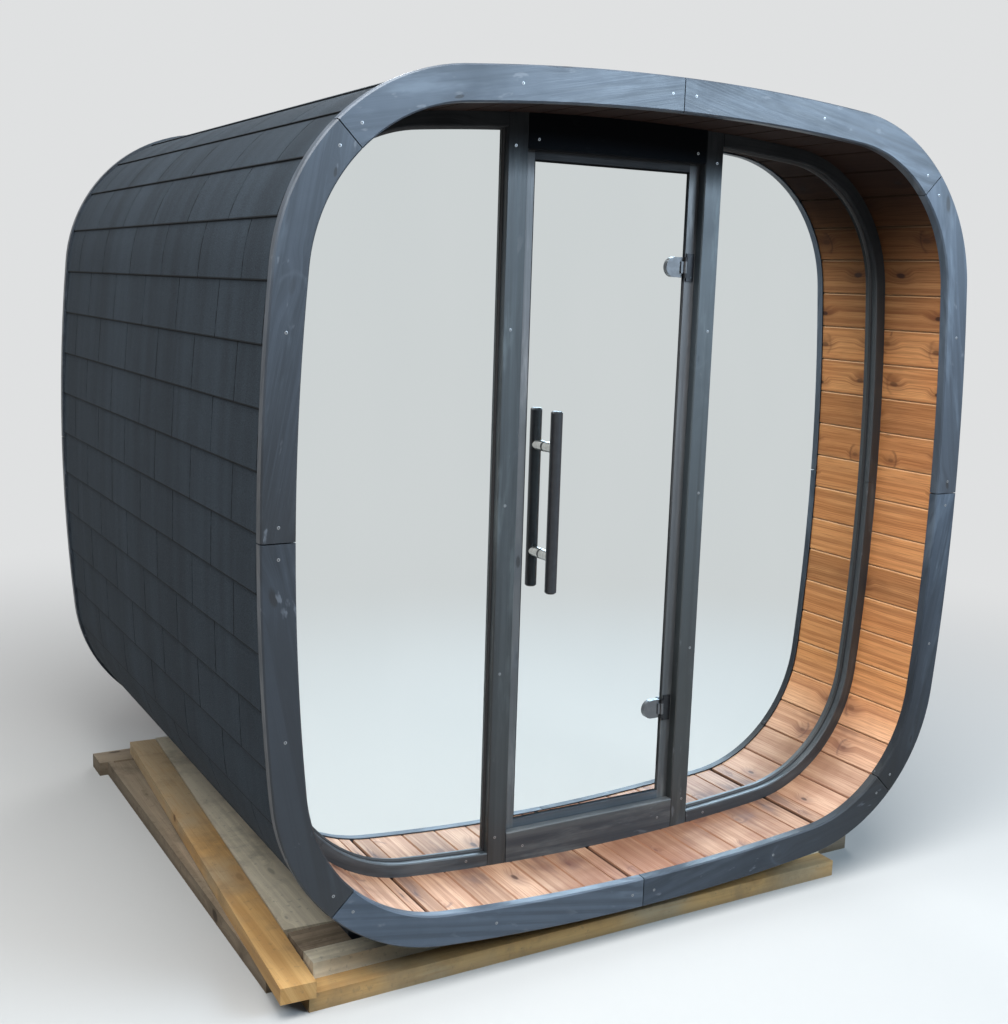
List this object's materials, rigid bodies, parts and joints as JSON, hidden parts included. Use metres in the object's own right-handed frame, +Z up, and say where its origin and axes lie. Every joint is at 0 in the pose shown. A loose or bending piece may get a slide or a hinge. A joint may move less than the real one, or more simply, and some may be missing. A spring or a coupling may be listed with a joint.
{
  "type": "outdoor sauna cabin",
  "caption": "Rounded-square timber cabin with shingled shell, board fascias, a recessed mirrored glass front wall with a hinged glass door, and a base of ground timbers.",
  "frame": {"origin": "on the ground, under the middle of the cabin", "axes": "+Z up; the glass front and its door face -Y; +X to the right seen from the front"},
  "size_m": [2.3, 2.17, 2.395],
  "materials": {
    "black_wood": "black stained, satin",
    "black_frame": "black stained, matte",
    "black_door_frame": "black stained, satin",
    "shingle": "mineral-surfaced bitumen, matte",
    "lining_wood": "clear oiled, satin",
    "floor_wood": "clear oiled, satin",
    "mirror_glass": "mirror-coated glass",
    "dark_metal": "dark satin coat",
    "handle_bar": "dark satin coat",
    "satin_metal": "satin",
    "pale_timber": "rough sawn",
    "grey_timber": "weathered, rough",
    "dark_timber": "weathered, rough"
  },
  "bodies": {
    "cabin": {"back_fascia": "black_wood", "back_wall": "lining_wood", "base_beam_front": "pale_timber", "base_cradles": "black_wood", "base_cross_sleepers": "dark_timber", "base_plank_front": "grey_timber", "base_plank_left": "pale_timber", "base_sleepers_upper": "grey_timber", "base_timbers_left": "dark_timber", "corner_bottom_left": "lining_wood", "corner_bottom_right": "lining_wood", "corner_top_left": "lining_wood", "corner_top_right": "lining_wood", "door_head_and_sill": "black_door_frame", "door_header": "black_frame", "door_hinge_plates": "dark_metal", "door_jambs": "black_door_frame", "door_kick_board": "black_frame", "floor": "floor_wood", "front_fascia_bottom_left": "black_wood", "front_fascia_bottom_right": "black_wood", "front_fascia_left_lower": "black_wood", "front_fascia_left_upper": "black_wood", "front_fascia_right_lower": "black_wood", "front_fascia_right_upper": "black_wood", "front_fascia_top_left": "black_wood", "front_fascia_top_right": "black_wood", "glass_frame_left_lower": "black_frame", "glass_frame_left_upper": "black_frame", "glass_frame_right_lower": "black_frame", "glass_frame_right_upper": "black_frame", "glass_panel_left": "mirror_glass", "glass_panel_right": "mirror_glass", "post_left": "black_frame", "post_right": "black_frame", "roof": "lining_wood", "shingles_left": "shingle", "shingles_right": "shingle", "shingles_roof": "shingle", "underlay_bottom": "shingle", "wall_left": "lining_wood", "wall_right": "lining_wood"},
    "door": {"door_glass": "mirror_glass", "door_handle_bars": "handle_bar", "door_handle_standoffs": "satin_metal", "door_hinge_clamps": "dark_metal"}
  },
  "joints": [
    {"name": "door_hinge", "type": "hinge", "parent": "cabin", "child": "door", "pos_m": [0.246, -0.804, 1.245], "axis": [0, 0, 1], "range_deg": [0, 110]}
  ]
}
